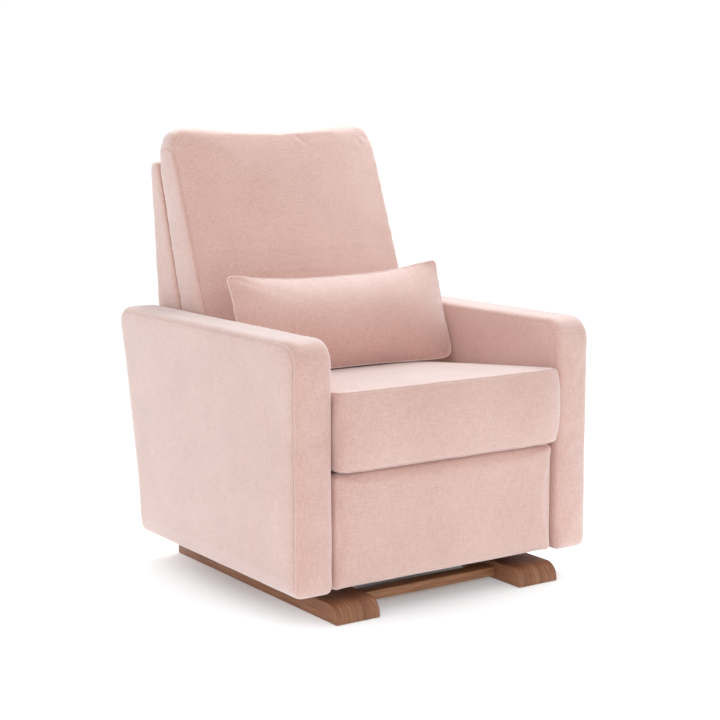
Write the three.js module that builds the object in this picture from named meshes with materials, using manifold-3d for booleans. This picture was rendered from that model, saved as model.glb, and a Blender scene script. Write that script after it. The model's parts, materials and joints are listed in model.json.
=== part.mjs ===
// A push-back glider recliner for a nursery: millimetres, +Z up, the sitter faces -Y.
// The origin is on the floor, under the middle of the chair.
import * as THREE from "three";
import { mergeVertices } from "three/addons/utils/BufferGeometryUtils.js";
import Module from "manifold-3d";

const wasm = await Module();
wasm.setup();

// ---- driving dimensions ----

const GAP = 0.3; // between pieces that rest against one another
const SIDES = [["left", 1], ["right", -1]]; // the sitter's left is +X
const AXLE = { segments: 16, clearance: 0.4 };

const FRONT = -380; // the arms' and the front panel's front faces
const LOW = 70; // the upholstery's lower edge, above the runners

const RUNNER = { inner: 183, outer: 290, front: -390, rear: 283, height: 40, nose: 34, edge: 2.5 };
const CROSSBAR = { depth: 38, low: 8, high: 28, front: -305, rear: 200 };

const ARM = { inner: 293, outer: 375, top: 577, rearTop: 394, rearLow: 297, edge: 13 };
const ARM_FRAME = { inner: 322, outer: 346, front: -345, low: 73, top: 537, rearLow: 262, rearTop: 351 };

const SEAT = { half: 286, front: -397, rear: 162, low: 313.7, frontTop: 476.5, fall: 0.0895, crown: 5 };
const SEAT_SWELL = { side: 3.5, front: 13, rear: 8 };
const SEAT_RAIL = { low: 282, high: 307, half: 292.7, front: [-300, -255], rear: [130, 172] };
const SPRING = { z: 309.4, wire: 3.6, sway: 20, bends: 12, from: -292, to: 164 };

const BACK = { half: 270, low: 438, top: 976, dip: 14, peak: 232, crown: 25, swell: 4, rise: 5 };
const BACK_FRONT = { y: 133, z: 500, lean: 0.391 };
const BACK_REAR = { y: 274.4, z: 577.5, lean: 0.2962, last: 905 };
const SHELL = { half: 274, low: 238, flap: 22, chin: 430, top: 903, wall: 23.5, recess: 30 };
const POST = { inner: 226, outer: 249.2, depth: 24, setback: 15.5, low: 343, high: 868 };

const PILLOW = { half: 275, tall: 115, y: 16, z: 560, lean: 18.6, front: 66, rear: 104 };

const PANEL = { half: 283.5, high: 300, thick: 34.7, corner: 15, edge: 11 };
const BOARD = { half: 278, rear: -335, front: -345, low: 76, high: 297 };

// glide: four hanging links of one length make the upper part swing level
const GLIDE = { front: -190, rear: 90, high: 225, length: 140, pin: 6, hub: 13 };
const BRACKET = { inner: 262, outer: 266, flange: 286, front: -235, rear: 135, thick: 4, top: 243 };
const LINK = { inner: 256, outer: 261 };
const RAIL = { inner: 250, outer: 254, low: 68 };
const RECLINE = { y: 225, z: 360, pin: 7 };

// footrest: two parallelograms, one above the other, drawn forwards (f) and upwards (u)
const FOOT = { pivot: [235, 246], arm: 150, closed: -110, panel: [322, 270], control: 30, tie: 42, rivet: 4.5, stud: 5 };
const LAYER = { main: [240, 244], lift: [235, 239], inner: [230, 234] };
const TUBE = 9;

// ---- materials ----

const look = (color, roughness, metalness = 0) =>
  new THREE.MeshStandardMaterial({ color, roughness, metalness, side: THREE.DoubleSide });
const MATERIAL = {
  blush: look(0xdcbfb6, 0.92),
  walnut: look(0x7a4a2e, 0.5),
  timber: look(0xc9a673, 0.75),
  steel: look(0x2c2d30, 0.45, 0.6),
  zinc: look(0xa9abad, 0.35, 0.9),
  webbing: look(0x4a443f, 0.95),
};

const chair = new THREE.Group();
chair.name = "glider_nursery_chair";

function add(name, geometry, material) {
  const mesh = new THREE.Mesh(geometry, material);
  mesh.name = name;
  chair.add(mesh);
}

// ---- shapes ----

const degrees = THREE.MathUtils.degToRad;
const lerp = THREE.MathUtils.lerp;

// a span of x on the sitter's left (+1) or right (-1), always from low to high
const span = (sign, inner, outer) => (sign > 0 ? [inner, outer] : [-outer, -inner]);

// a point at some distance and angle from another, angles from forwards towards up
function reach([f, u], distance, angle) {
  return [f + distance * Math.cos(degrees(angle)), u + distance * Math.sin(degrees(angle))];
}

// a polygon of [a, b, radius] corners, each one rounded by an arc
function rounded(corners, steps = 4) {
  const points = [];
  corners.forEach(([a, b, radius = 0], i) => {
    const corner = new THREE.Vector2(a, b);
    const before = new THREE.Vector2(...corners.at(i - 1).slice(0, 2)).sub(corner).normalize();
    const after = new THREE.Vector2(...corners[(i + 1) % corners.length].slice(0, 2)).sub(corner).normalize();
    if (radius === 0) {
      points.push(corner);
      return;
    }
    const half = Math.acos(before.dot(after)) / 2;
    const centre = before.clone().add(after).setLength(radius / Math.sin(half)).add(corner);
    const start = before.multiplyScalar(radius / Math.tan(half)).add(corner).sub(centre).angle();
    const end = after.multiplyScalar(radius / Math.tan(half)).add(corner).sub(centre).angle();
    const turn = THREE.MathUtils.euclideanModulo(end - start + Math.PI, 2 * Math.PI) - Math.PI;
    for (let k = 0; k <= steps; k++) {
      const angle = start + (turn * k) / steps;
      points.push(new THREE.Vector2(Math.cos(angle), Math.sin(angle)).multiplyScalar(radius).add(centre));
    }
  });
  return points;
}

// the outline around some [a, b, radius] discs, as a belt drawn tight around them
function belt(discs, steps = 16) {
  const cloud = [];
  for (const [a, b, radius] of discs) {
    for (let k = 0; k < steps; k++) {
      const angle = (2 * Math.PI * (k + 0.5)) / steps;
      cloud.push([a + radius * Math.cos(angle), b + radius * Math.sin(angle)]);
    }
  }
  cloud.sort((p, q) => p[0] - q[0] || p[1] - q[1]);
  const turns = (p, q, r) => (q[0] - p[0]) * (r[1] - p[1]) - (q[1] - p[1]) * (r[0] - p[0]);
  const chain = (points) => {
    const hull = [];
    for (const point of points) {
      while (hull.length > 1 && turns(hull.at(-2), hull.at(-1), point) <= 1e-6) hull.pop();
      hull.push(point);
    }
    return hull.slice(0, -1);
  };
  return [...chain(cloud), ...chain([...cloud].reverse())].map(([a, b]) => new THREE.Vector2(a, b));
}

// an outline with round holes, thickened and with its edges rounded
function thickened(outline, depth, edge, holes, steps = 3) {
  const shape = new THREE.Shape(outline);
  for (const [a, b, radius] of holes) {
    const hole = new THREE.Path();
    hole.absarc(a, b, radius, 0, 2 * Math.PI, true);
    shape.holes.push(hole);
  }
  const geometry = new THREE.ExtrudeGeometry(shape, {
    depth: depth - 2 * edge,
    bevelEnabled: edge > 0,
    bevelThickness: edge,
    bevelSize: edge,
    bevelOffset: -edge,
    bevelSegments: steps,
    curveSegments: AXLE.segments,
  });
  return geometry.translate(0, 0, edge);
}

const UNIT_X = new THREE.Vector3(1, 0, 0);
const UNIT_Y = new THREE.Vector3(0, 1, 0);
const UNIT_Z = new THREE.Vector3(0, 0, 1);

// an outline in the side view (y, z), thickened across the chair over a span of x
function across(outline, [x0, x1], { edge = 0, holes = [], steps = 3 } = {}) {
  const turn = new THREE.Matrix4().makeBasis(UNIT_Y, UNIT_Z, UNIT_X);
  return thickened(outline, x1 - x0, edge, holes, steps).applyMatrix4(turn).translate(x0, 0, 0);
}

// an outline in the front view (x, z), thickened forwards from y = rear
function forwards(outline, rear, depth, edge = 0) {
  const turn = new THREE.Matrix4().makeBasis(UNIT_X, UNIT_Z, UNIT_Y.clone().negate());
  return thickened(outline, depth, edge, []).applyMatrix4(turn).translate(0, rear, 0);
}

function block([x0, x1], [y0, y1], [z0, z1]) {
  const geometry = new THREE.BoxGeometry(x1 - x0, y1 - y0, z1 - z0);
  return geometry.translate((x0 + x1) / 2, (y0 + y1) / 2, (z0 + z1) / 2);
}

function rod([x0, x1], [y, z], radius) {
  const geometry = new THREE.CylinderGeometry(radius, radius, x1 - x0, AXLE.segments);
  return geometry.rotateZ(Math.PI / 2).translate((x0 + x1) / 2, y, z);
}

// a headed pin along x: its shank starts at |x| = tip, its head lies from |x| = seat on
function pin(sign, [y, z], radius, tip, seat, crown) {
  const profile = [[0, tip], [radius, tip], [radius, seat], [radius * 1.6, seat], [radius * 1.6, crown], [0, crown]];
  const geometry = new THREE.LatheGeometry(profile.map(([r, h]) => new THREE.Vector2(r, h)), AXLE.segments);
  return geometry.rotateZ((-sign * Math.PI) / 2).translate(0, y, z);
}

// a stuffed piece: two facing sheets whose rims are joined by a strip that bows outwards.
// front(u, v), back(u, v) and bow(u, v) give [x, y, z] for u and v from -1 to 1.
function stuffed([columns, rows, strips], front, back, bow) {
  const positions = [];
  const index = [];
  const spread = (k, count) => Math.sin((Math.PI / 2) * ((2 * k) / count - 1));
  const rim = [];
  for (let i = 0; i < columns; i++) rim.push([i, 0]);
  for (let j = 0; j < rows; j++) rim.push([columns, j]);
  for (let i = columns; i > 0; i--) rim.push([i, rows]);
  for (let j = rows; j > 0; j--) rim.push([0, j]);
  const uv = ([i, j]) => [spread(i, columns), spread(j, rows)];
  const sheet = (face) => {
    const start = positions.length / 3;
    for (let j = 0; j <= rows; j++) {
      for (let i = 0; i <= columns; i++) positions.push(...face(...uv([i, j])));
    }
    return ([i, j]) => start + j * (columns + 1) + i;
  };
  const cell = (a, b, c, d) => index.push(a, b, c, a, c, d);
  const fore = sheet(front);
  const aft = sheet(back);
  for (let j = 0; j < rows; j++) {
    for (let i = 0; i < columns; i++) {
      cell(fore([i, j]), fore([i + 1, j]), fore([i + 1, j + 1]), fore([i, j + 1]));
      cell(aft([i, j]), aft([i, j + 1]), aft([i + 1, j + 1]), aft([i + 1, j]));
    }
  }
  let ring = rim.map(fore);
  for (let strip = 1; strip <= strips; strip++) {
    const t = strip / strips;
    const next = rim.map((place) => {
      if (strip === strips) return aft(place);
      const [u, v] = uv(place);
      const [near, far, out] = [front(u, v), back(u, v), bow(u, v)];
      positions.push(...near.map((value, k) => lerp(value, far[k], t) + 4 * t * (1 - t) * out[k]));
      return positions.length / 3 - 1;
    });
    ring.forEach((here, k) => {
      const after = (k + 1) % ring.length;
      cell(ring[after], here, next[k], next[after]);
    });
    ring = next;
  }
  const geometry = new THREE.BufferGeometry();
  geometry.setAttribute("position", new THREE.Float32BufferAttribute(positions, 3));
  geometry.setIndex(index);
  return geometry;
}

// a square's point moved onto a square with rounded corners
function squircle(u, v, power) {
  const size = (Math.abs(u) ** power + Math.abs(v) ** power) ** (1 / power);
  const scale = size === 0 ? 1 : Math.max(Math.abs(u), Math.abs(v)) / size;
  return [u * scale, v * scale];
}

// ---- joining and cutting ----

function solid(geometry) {
  const bare = geometry.clone();
  bare.deleteAttribute("normal");
  bare.deleteAttribute("uv");
  const merged = mergeVertices(bare, 1e-3);
  return new wasm.Manifold(new wasm.Mesh({
    numProp: 3,
    vertProperties: new Float32Array(merged.attributes.position.array),
    triVerts: new Uint32Array(merged.index.array),
  }));
}

function geometryOf(body) {
  const mesh = body.getMesh();
  const geometry = new THREE.BufferGeometry();
  geometry.setAttribute("position", new THREE.BufferAttribute(mesh.vertProperties, 3));
  geometry.setIndex(new THREE.BufferAttribute(mesh.triVerts, 1));
  return geometry;
}

const joined = (...pieces) => geometryOf(pieces.map(solid).reduce((a, b) => a.add(b)));
const cut = (body, ...tools) => geometryOf(tools.map(solid).reduce((a, b) => a.subtract(b), solid(body)));

// ---- base: two runners, their crossbars and the plates that carry the glide ----

function addBase() {
  const { front, rear, height, nose, edge } = RUNNER;
  const outline = rounded([[front, 0, 4], [rear, 0, 4], [rear, height, 4], [front, height, nose]], 6);
  for (const [side, sign] of SIDES) {
    const runner = across(outline, span(sign, RUNNER.inner, RUNNER.outer), { edge, steps: 2 });
    add(`${side}_runner`, runner, MATERIAL.walnut);
  }
  for (const end of ["front", "rear"]) {
    const half = RUNNER.inner - GAP;
    const depth = [CROSSBAR[end], CROSSBAR[end] + CROSSBAR.depth];
    add(`${end}_crossbar`, block([-half, half], depth, [CROSSBAR.low, CROSSBAR.high]), MATERIAL.walnut);
  }
  for (const [side, sign] of SIDES) addBaseBracket(side, sign);
}

function addBaseBracket(side, sign) {
  const floor = RUNNER.height + GAP;
  const shoulder = 20;
  const plate = rounded([
    [BRACKET.front, floor], [BRACKET.rear, floor],
    [BRACKET.rear - shoulder, BRACKET.top, 14], [BRACKET.front + shoulder, BRACKET.top, 14],
  ]);
  const holes = ["front", "rear"].map((end) => [GLIDE[end], GLIDE.high, GLIDE.pin + GAP]);
  const upright = across(plate, span(sign, BRACKET.inner, BRACKET.outer), { holes });
  const flange = block(
    span(sign, BRACKET.outer - BRACKET.thick / 2, BRACKET.flange),
    [BRACKET.front, BRACKET.rear],
    [floor, floor + BRACKET.thick],
  );
  add(`${side}_base_bracket`, joined(upright, flange), MATERIAL.steel);
  for (const end of ["front", "rear"]) {
    const axle = pin(sign, [GLIDE[end], GLIDE.high], GLIDE.pin, LINK.inner - 0.6, BRACKET.outer + GAP, BRACKET.outer + 4);
    add(`${side}_${end}_base_pin`, axle, MATERIAL.zinc);
  }
}

// ---- glide links ----

function addGlideLinks() {
  const low = GLIDE.high - GLIDE.length;
  const bore = GLIDE.pin + AXLE.clearance;
  for (const [side, sign] of SIDES) {
    for (const end of ["front", "rear"]) {
      const y = GLIDE[end];
      const outline = belt([[y, GLIDE.high, GLIDE.hub], [y, low, GLIDE.hub]]);
      const holes = [[y, GLIDE.high, bore], [y, low, bore]];
      add(`${side}_${end}_glide_link`, across(outline, span(sign, LINK.inner, LINK.outer), { holes }), MATERIAL.zinc);
    }
  }
}

// ---- carriage: everything that glides as one ----

const footAnchor = reach(FOOT.pivot, FOOT.arm, FOOT.closed);
const liftAngle = THREE.MathUtils.radToDeg(
  Math.atan2(FOOT.panel[1] - footAnchor[1], FOOT.panel[0] - footAnchor[0]),
);
const tieAngle = liftAngle - 135;
const controlAngle = FOOT.closed + 135;
const controlPivot = reach(FOOT.pivot, FOOT.control, controlAngle);
const back = ([f, u]) => [-f, u]; // forwards is -Y

function addSideRail(side, sign) {
  const low = GLIDE.high - GLIDE.length;
  const under = SEAT_RAIL.low - GAP;
  const { y, z } = RECLINE;
  const outline = rounded([
    [-276, 242, 10], [-216, RAIL.low, 12], [112, RAIL.low, 16], [200, 240, 30],
    [y + 18, z - 20, 14], [y + 18, z + 20, 16], [y - 18, z + 20, 16],
    [SEAT_RAIL.rear[1] + 5, under, 6], [-276, under, 8],
  ]);
  const holes = ["front", "rear"].map((end) => [GLIDE[end], low, GLIDE.pin + GAP]);
  holes.push([y, z, RECLINE.pin + GAP]);
  add(`${side}_side_rail`, across(outline, span(sign, RAIL.inner, RAIL.outer), { holes }), MATERIAL.steel);
  // studs welded to the rail, for the two links that carry the footrest
  const weld = RAIL.inner - GAP;
  const main = rod(span(sign, LAYER.main[0] + 0.2, weld), back(FOOT.pivot), FOOT.stud);
  const control = rod(span(sign, LAYER.inner[0] - 0.5, weld), back(controlPivot), FOOT.stud);
  add(`${side}_footrest_stud`, main, MATERIAL.zinc);
  add(`${side}_control_stud`, control, MATERIAL.zinc);
  for (const end of ["front", "rear"]) {
    // its head lies inside the rail, so the shank points outwards
    const axle = pin(-sign, [GLIDE[end], low], GLIDE.pin, -LINK.outer - 0.6, -RAIL.inner + GAP, -RAIL.inner + 4);
    add(`${side}_${end}_carriage_pin`, axle, MATERIAL.zinc);
  }
  const hinge = pin(sign, [y, z], RECLINE.pin, POST.inner - 2, RAIL.outer + GAP, RAIL.outer + 4);
  add(`${side}_recline_pin`, hinge, MATERIAL.zinc);
}

function addSeat() {
  const half = SEAT_RAIL.half;
  for (const end of ["front", "rear"]) {
    const rail = block([-half, half], SEAT_RAIL[end], [SEAT_RAIL.low, SEAT_RAIL.high]);
    add(`${end}_seat_rail`, rail, MATERIAL.timber);
  }
  [-165, -55, 55, 165].forEach((x, i) => add(`seat_spring_${i + 1}`, sinuous(x), MATERIAL.steel));
  add("seat_cushion", seatCushion(), MATERIAL.blush);
}

// a zigzag of square wire that runs from the front rail to the rear one
function sinuous(x) {
  const { z, wire, sway, bends, from, to } = SPRING;
  const path = new THREE.CurvePath();
  const corners = [[x, from]];
  for (let bend = 0; bend < bends; bend++) {
    const side = bend % 2 ? -1 : 1;
    const start = lerp(from, to, (bend + 0.3) / bends);
    const end = lerp(from, to, (bend + 0.7) / bends);
    corners.push([x + side * sway, start], [x + side * sway, end]);
  }
  corners.push([x, to]);
  const wireSide = (offset) => corners.map(([a, b], i) => {
    const before = corners[Math.max(i - 1, 0)];
    const after = corners[Math.min(i + 1, corners.length - 1)];
    const along = new THREE.Vector2(after[0] - before[0], after[1] - before[1]).normalize();
    return new THREE.Vector2(a - along.y * offset, b + along.x * offset);
  });
  const outline = [...wireSide(-wire / 2), ...wireSide(wire / 2).reverse()];
  return thickened(outline, wire, 0, []).translate(0, 0, z - wire / 2);
}

function seatCushion() {
  const top = (u, v) => {
    const [a, b] = squircle(u, v, 22);
    const y = lerp(SEAT.front, SEAT.rear, (b + 1) / 2);
    const crown = SEAT.crown * (1 - a ** 4) * (1 - b ** 4);
    return [SEAT.half * a, y, SEAT.frontTop - SEAT.fall * (y - SEAT.front) + crown];
  };
  const bottom = (u, v) => {
    const [x, y] = top(u, v);
    return [x, y, SEAT.low];
  };
  const bow = (u, v) => [
    SEAT_SWELL.side * Math.round(u) * Math.abs(u) ** 9,
    (v > 0 ? SEAT_SWELL.rear : -SEAT_SWELL.front) * Math.abs(v) ** 9,
    0,
  ];
  return stuffed([12, 8, 4], top, bottom, bow);
}

function addArm(side, sign) {
  const profile = rounded([
    [FRONT, LOW, 18], [ARM.rearLow, LOW, 20], [ARM.rearTop, ARM.top, 40], [FRONT, ARM.top, 50],
  ], 5);
  const frame = (grow, drop) => [
    [ARM_FRAME.front - grow, ARM_FRAME.low - drop], [ARM_FRAME.rearLow + grow, ARM_FRAME.low - drop],
    [ARM_FRAME.rearTop + grow, ARM_FRAME.top + grow], [ARM_FRAME.front - grow, ARM_FRAME.top + grow],
  ].map(([y, z]) => new THREE.Vector2(y, z));
  const cover = across(profile, span(sign, ARM.inner, ARM.outer), { edge: ARM.edge });
  const slot = across(frame(GAP, 20), span(sign, ARM_FRAME.inner - GAP, ARM_FRAME.outer + GAP));
  add(`${side}_arm`, cut(cover, slot), MATERIAL.blush);
  add(`${side}_arm_frame`, across(frame(0, 0), span(sign, ARM_FRAME.inner, ARM_FRAME.outer)), MATERIAL.timber);
}

// the arms' slanted rear line
const armRear = (z) => lerp(ARM.rearLow, ARM.rearTop, (z - LOW) / (ARM.top - LOW));

function addRearPanel() {
  const [low, high, thick, inset] = [78, 212, 16, 4];
  const outline = rounded([
    [armRear(low) - inset - thick, low], [armRear(low) - inset, low, 5],
    [armRear(high) - inset, high, 6], [armRear(high) - inset - thick, high, 6],
  ], 2);
  add("rear_panel", across(outline, [-SEAT_RAIL.half, SEAT_RAIL.half], {}), MATERIAL.blush);
}

function addCarriage() {
  for (const [side, sign] of SIDES) {
    addSideRail(side, sign);
    addArm(side, sign);
  }
  addSeat();
  addRearPanel();
}

// ---- backrest ----

// the slanted line where the back cushion meets the shell behind it
const crease = (z) => BACK_REAR.y + BACK_REAR.lean * (Math.min(z, BACK_REAR.last) - BACK_REAR.z);
const shellRear = (z) => (z > ARM.top ? lerp(384.5, 410, (z - ARM.top) / 308) : armRear(z) - 9.5);

// a slanted bar between two heights, set back from the crease by some distance
function slanted(low, high, setback, depth) {
  return [[low, 0], [low, depth], [high, depth], [high, 0]].map(
    ([z, deep]) => new THREE.Vector2(crease(z) + setback + deep, z),
  );
}

function backCushion() {
  const place = (u, v) => {
    const [a, b] = squircle(u, v, 11);
    const x = BACK.half * a;
    const top = BACK.top - BACK.dip * Math.max(0, 1 - (x / BACK.peak) ** 2);
    return [a, b, x, lerp(BACK.low, top, (b + 1) / 2)];
  };
  const front = (u, v) => {
    const [a, b, x, z] = place(u, v);
    const crown = BACK.crown * (1 - Math.abs(a) ** 2.5) * (1 - Math.abs(b) ** 2.5);
    return [x, BACK_FRONT.y + BACK_FRONT.lean * (z - BACK_FRONT.z) - crown, z];
  };
  const rear = (u, v) => {
    const [, , x, z] = place(u, v);
    return [x, crease(z) - 1, z];
  };
  const bow = (u, v) => [
    BACK.swell * Math.round(u) * Math.abs(u) ** 9,
    0,
    BACK.rise * Math.round(v) * Math.abs(v) ** 9,
  ];
  return stuffed([12, 10, 3], front, rear, bow);
}

function backShell() {
  const { low, flap, chin, top, half, wall, recess } = SHELL;
  const outline = rounded([
    [shellRear(low) - flap, low, 7], [shellRear(low), low, 7], [shellRear(ARM.top), ARM.top],
    [shellRear(885), 885], [shellRear(top) - 4, top, 12], [crease(top), top, 7],
    [crease(chin), chin, 7], [shellRear(chin) - flap, chin, 8],
  ]);
  const skin = across(outline, [-half, half], { edge: 4, steps: 2 });
  const pocket = [[chin - 20, -40], [chin - 20, recess], [872, recess], [872, -40]].map(
    ([z, deep]) => new THREE.Vector2(crease(z) + deep, z),
  );
  return cut(skin, across(pocket, [wall - half, half - wall]));
}

function addBackrest() {
  const { inner, outer, depth, setback, low, high } = POST;
  const middle = setback - depth / 2;
  for (const [side, sign] of SIDES) {
    const bar = slanted(low, high, middle, depth);
    const holes = [[RECLINE.y, RECLINE.z, RECLINE.pin + AXLE.clearance]];
    add(`${side}_back_post`, across(bar, span(sign, inner, outer), { holes }), MATERIAL.timber);
  }
  const between = [GAP - inner, inner - GAP];
  const rails = [["lower_back_rail", 452, 492], ["top_back_rail", 828, 868]];
  for (const [name, from, to] of rails) {
    add(name, across(slanted(from, to, middle + 1, depth - 2), between), MATERIAL.timber);
  }
  const straps = [["lower_back_strap", 570, 620], ["upper_back_strap", 690, 740]];
  for (const [name, from, to] of straps) {
    add(name, across(slanted(from, to, 0.4, 2.6), [-outer, outer]), MATERIAL.webbing);
  }
  add("back_shell", backShell(), MATERIAL.blush);
  add("back_cushion", backCushion(), MATERIAL.blush);
}

// ---- lumbar pillow: knife-edged, with pointed corners ----

function addPillow() {
  const up = [Math.sin(degrees(PILLOW.lean)), Math.cos(degrees(PILLOW.lean))];
  const face = (depth) => (u, v) => {
    const x = PILLOW.half * u * (1 - 0.03 * (1 - v * v));
    const along = PILLOW.tall * v * (1 - 0.06 * (1 - u * u));
    const out = depth * Math.max(0, (1 - u ** 4) * (1 - v * v)) ** 0.5;
    return [x, PILLOW.y + up[0] * along + up[1] * out, PILLOW.z + up[1] * along - up[0] * out];
  };
  const rim = () => [0, 0, 0];
  add("lumbar_pillow", stuffed([14, 10, 1], face(-PILLOW.front), face(PILLOW.rear), rim), MATERIAL.blush);
}

// ---- footrest ----

function addFootrest() {
  const anchor = footAnchor;
  const controlled = reach(anchor, FOOT.control, controlAngle);
  const tieLow = reach(anchor, FOOT.tie, tieAngle);
  const tieHigh = reach(FOOT.panel, FOOT.tie, tieAngle);
  const bore = FOOT.rivet + AXLE.clearance;
  const disc = (point, radius) => [...back(point), radius];
  for (const [side, sign] of SIDES) {
    const rivet = (point, [inner], outer) => rod(span(sign, inner - 0.5, outer - 1), back(point), FOOT.rivet);

    const main = across(belt([disc(FOOT.pivot, 11), disc(anchor, 9), disc(tieLow, 9)]), span(sign, ...LAYER.main), {
      holes: [disc(FOOT.pivot, FOOT.stud + AXLE.clearance)],
    });
    const mainRivets = [anchor, tieLow].map((point) => rivet(point, LAYER.lift, LAYER.main[1]));
    add(`${side}_main_link`, joined(main, ...mainRivets), MATERIAL.zinc);

    const control = across(belt([disc(controlPivot, 7.5), disc(controlled, 7.5)]), span(sign, ...LAYER.inner), {
      holes: [disc(controlPivot, FOOT.stud + AXLE.clearance), disc(controlled, bore)],
    });
    add(`${side}_control_link`, control, MATERIAL.zinc);

    const lift = across(belt([disc(anchor, 9), disc(controlled, 7.5), disc(FOOT.panel, 8)]), span(sign, ...LAYER.lift), {
      holes: [disc(anchor, bore)],
    });
    const liftRivets = [controlled, FOOT.panel].map((point) => rivet(point, LAYER.inner, LAYER.lift[1]));
    add(`${side}_lift_link`, joined(lift, ...liftRivets), MATERIAL.zinc);

    const tie = across(belt([disc(tieLow, 7), disc(tieHigh, 7)]), span(sign, ...LAYER.lift), {
      holes: [disc(tieLow, bore)],
    });
    add(`${side}_tie_link`, joined(tie, rivet(tieHigh, LAYER.inner, LAYER.lift[1])), MATERIAL.zinc);

    const behind = BOARD.rear + GAP;
    const plate = rounded([[behind, 212], [-310, 216, 8], [-310, 284, 8], [behind, 288]]);
    const bracket = across(plate, span(sign, ...LAYER.inner), {
      holes: [disc(FOOT.panel, bore), disc(tieHigh, bore)],
    });
    add(`${side}_panel_bracket`, bracket, MATERIAL.steel);
  }
  const tube = LAYER.main[0] - GAP;
  add("torque_tube", rod([-tube, tube], back(FOOT.pivot), TUBE), MATERIAL.steel);
  const board = block([-BOARD.half, BOARD.half], [BOARD.front, BOARD.rear], [BOARD.low, BOARD.high]);
  add("footrest_board", board, MATERIAL.timber);
  const { half, high, corner, thick, edge } = PANEL;
  const pad = rounded([[-half, LOW, corner], [half, LOW, corner], [half, high, corner], [-half, high, corner]]);
  add("footrest_pad", forwards(pad, FRONT + thick, thick, edge), MATERIAL.blush);
}

addBase();
addGlideLinks();
addCarriage();
addBackrest();
addPillow();
addFootrest();

export default chair;
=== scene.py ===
import json
import math

import bmesh
import bpy
import numpy as np
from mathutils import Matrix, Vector, noise
from mathutils.bvhtree import BVHTree
from mathutils.kdtree import KDTree

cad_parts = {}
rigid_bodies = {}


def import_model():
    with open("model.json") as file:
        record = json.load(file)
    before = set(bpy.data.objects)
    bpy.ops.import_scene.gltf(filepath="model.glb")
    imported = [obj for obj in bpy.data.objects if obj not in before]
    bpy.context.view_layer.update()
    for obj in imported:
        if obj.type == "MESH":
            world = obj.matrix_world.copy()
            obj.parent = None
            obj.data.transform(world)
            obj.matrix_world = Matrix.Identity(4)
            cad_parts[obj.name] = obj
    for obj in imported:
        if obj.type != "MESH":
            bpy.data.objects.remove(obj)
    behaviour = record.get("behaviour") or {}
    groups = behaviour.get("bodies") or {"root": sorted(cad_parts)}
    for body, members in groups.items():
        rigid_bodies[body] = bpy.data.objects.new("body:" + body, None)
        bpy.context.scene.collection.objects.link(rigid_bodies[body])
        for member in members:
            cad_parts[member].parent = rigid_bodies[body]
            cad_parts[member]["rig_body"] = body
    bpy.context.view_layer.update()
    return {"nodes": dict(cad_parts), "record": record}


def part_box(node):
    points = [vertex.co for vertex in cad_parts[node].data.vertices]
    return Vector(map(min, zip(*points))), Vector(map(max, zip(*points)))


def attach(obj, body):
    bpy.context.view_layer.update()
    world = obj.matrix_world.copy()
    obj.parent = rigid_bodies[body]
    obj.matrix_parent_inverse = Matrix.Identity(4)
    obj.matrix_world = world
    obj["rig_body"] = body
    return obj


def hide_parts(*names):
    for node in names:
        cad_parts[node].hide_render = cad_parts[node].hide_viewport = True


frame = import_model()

SIDES = {"left": 1, "right": -1}  # the sitter's left is +X
FRAMES = 20  # of cloth simulation
CURVE_TOP = 0.905  # above this height the back cushion's front and rear no longer lean

SEAT_SEAM = {"half": 0.286, "front": -0.397, "rear": 0.162, "top": 0.4765, "fall": 0.0895}
BACK_HALF = 0.270
LEAN_FRONT = (0.133, 0.5, 0.391)  # y at a height, and the slope of the back cushion's front
LEAN_REAR = (0.2734, 0.5775, 0.2962)
BACK_CREASES = [  # pulls in the back cushion's cover, from and to, and their depths
    ((0.040, 0.291, 0.966), (0.070, 0.291, 0.938), 0.0010),
    ((0.060, 0.291, 0.968), (0.080, 0.291, 0.950), 0.0005),
    ((0.214, 0.291, 0.966), (0.240, 0.291, 0.932), 0.0007),
]
PILLOW = {"half": 0.292, "y": 0.016, "z": 0.560, "lean": math.radians(18.6), "front": 0.056, "rear": 0.088}


# ---------------------------------------------------------------- materials


def srgb(red, green, blue):
    """A colour as a screen shows it, from 0 to 255, as the linear colour that shaders use."""
    parts = [value / 255 for value in (red, green, blue)]
    return [v / 12.92 if v <= 0.04045 else ((v + 0.055) / 1.055) ** 2.4 for v in parts] + [1.0]


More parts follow.
